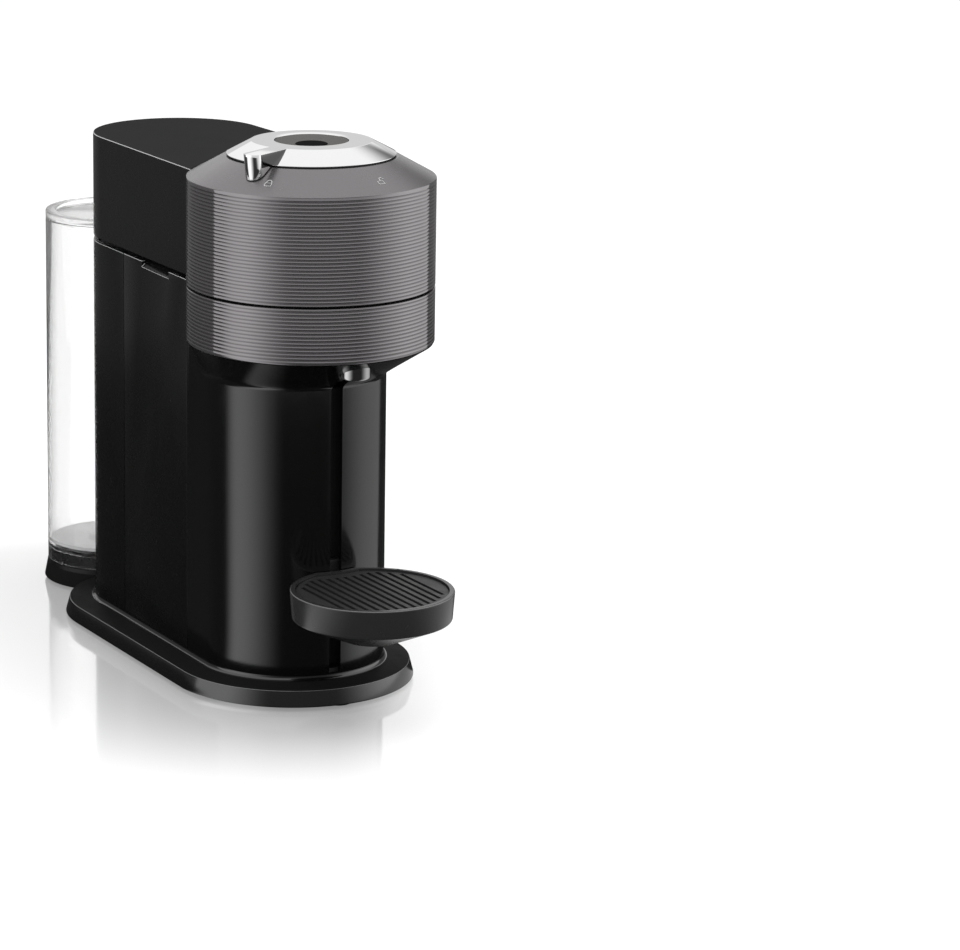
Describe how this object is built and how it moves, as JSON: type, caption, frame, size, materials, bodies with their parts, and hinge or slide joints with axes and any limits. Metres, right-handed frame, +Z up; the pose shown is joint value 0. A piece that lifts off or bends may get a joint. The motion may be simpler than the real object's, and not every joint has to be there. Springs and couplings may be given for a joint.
{
  "type": "pod coffee machine",
  "caption": "Slim upright pod coffee machine with a round tilting brewing head, locking lever ring, cup support, side capsule bin and rear water tank.",
  "frame": {"origin": "centre of the machine's bounding box, on the surface it stands on", "axes": "+Z up, front faces -Y, left side faces -X, millimetre model exported in metres"},
  "size_m": [0.1408, 0.4207, 0.314],
  "materials": {
    "black_satin": "satin moulded black",
    "black_gloss": "polished black",
    "head_grey": "warm grey metallic lacquer, fine turned ridges",
    "chrome": "polished",
    "dish_grey": "warm grey metallic lacquer",
    "tray_grey": "satin dark grey",
    "clear": "clear",
    "pale_grey": "satin",
    "rubber": "matt",
    "steel": "turned",
    "alloy": "cast",
    "motor_grey": "painted",
    "inner_black": "moulded",
    "board_green": "lacquered",
    "hose_clear": "silicone"
  },
  "bodies": {
    "stand": {"base_foot": "black_satin", "bottom_cover": "black_satin", "cover_screws": "steel", "rubber_feet": "rubber", "tank_seat": "black_satin", "valve_gasket": "rubber", "cord_gland": "rubber", "chassis": "inner_black", "front_column": "black_gloss", "rear_housing": "black_satin", "right_panel": "black_satin", "slide_rail": "inner_black", "neck_collar": "black_gloss", "lower_head_ring": "head_grey", "deck_plate": "inner_black", "brew_chamber": "inner_black", "coffee_outlet": "chrome", "outlet_nozzle": "inner_black", "drive_motor": "motor_grey", "motor_bracket": "steel", "bearing_block": "alloy", "spindle_bearings": "steel", "shaft_seal": "rubber", "pump_foot_pad": "rubber", "water_pump": "motor_grey", "flow_meter": "inner_black", "heater": "alloy", "control_board": "board_green", "water_hoses": "hose_clear", "hinge_ears": "steel", "hinge_pin": "steel"},
    "capsule_drive": {"spindle": "steel", "capsule_holder": "inner_black"},
    "bin": {"capsule_bin": "black_satin"},
    "hood": {"head_shell": "head_grey", "top_cover": "black_satin", "hood_floor": "inner_black", "brew_block": "alloy", "injector_bearing": "steel", "water_cap": "inner_black", "chamber_seal": "rubber", "button_dish": "dish_grey", "button_switch": "inner_black"},
    "injector_plate": {"injector": "steel"},
    "lever": {"lever_ring": "chrome", "bayonet_sleeve": "inner_black"},
    "button": {"brew_button": "black_gloss"},
    "cup_rest": {"cup_support": "tray_grey", "support_carriage": "inner_black"},
    "grid": {"drip_grid": "inner_black"},
    "tank": {"water_tank": "clear", "tank_base": "black_satin", "tank_floor_disc": "pale_grey", "tank_valve": "inner_black"},
    "tank_cap": {"tank_lid": "clear"}
  },
  "joints": [
    {"name": "hood_open", "type": "hinge", "parent": "stand", "child": "hood", "pos_m": [0, 0.1226, 0.2385], "axis": [-1, 0, 0], "range_deg": [0, 32]},
    {"name": "lever_turn", "type": "hinge", "parent": "hood", "child": "lever", "pos_m": [0, -0.09, 0.31], "axis": [0, 0, 1], "range_deg": [0, 60]},
    {"name": "button_press", "type": "slide", "parent": "hood", "child": "button", "axis": [0, 0, -1], "range_m": [0, 0.0015], "stiffness_N_per_m": 400},
    {"name": "capsule_spin", "type": "hinge", "parent": "stand", "child": "capsule_drive", "pos_m": [0, -0.09, 0.209], "axis": [0, 0, 1], "continuous": true},
    {"name": "injector_spin", "type": "hinge", "parent": "hood", "child": "injector_plate", "pos_m": [0, -0.09, 0.24], "axis": [0, 0, 1], "continuous": true},
    {"name": "bin_pull", "type": "slide", "parent": "stand", "child": "bin", "axis": [-1, 0, 0], "range_m": [0, 0.11]},
    {"name": "cup_rest_height", "type": "slide", "parent": "stand", "child": "cup_rest", "axis": [0, 0, 1], "range_m": [-0.036, 0.06]},
    {"name": "grid_lift", "type": "slide", "parent": "cup_rest", "child": "grid", "axis": [0, 0, 1], "range_m": [0, 0.03]},
    {"name": "tank_lift", "type": "slide", "parent": "stand", "child": "tank", "axis": [0, 0.6, 0.8], "range_m": [0, 0.12]},
    {"name": "tank_lid_lift", "type": "slide", "parent": "tank", "child": "tank_cap", "axis": [0, 0.6, 0.8], "range_m": [0, 0.1]}
  ],
  "couplings": [
    {"joint": "injector_spin", "follows": "capsule_spin", "ratio": 1}
  ]
}
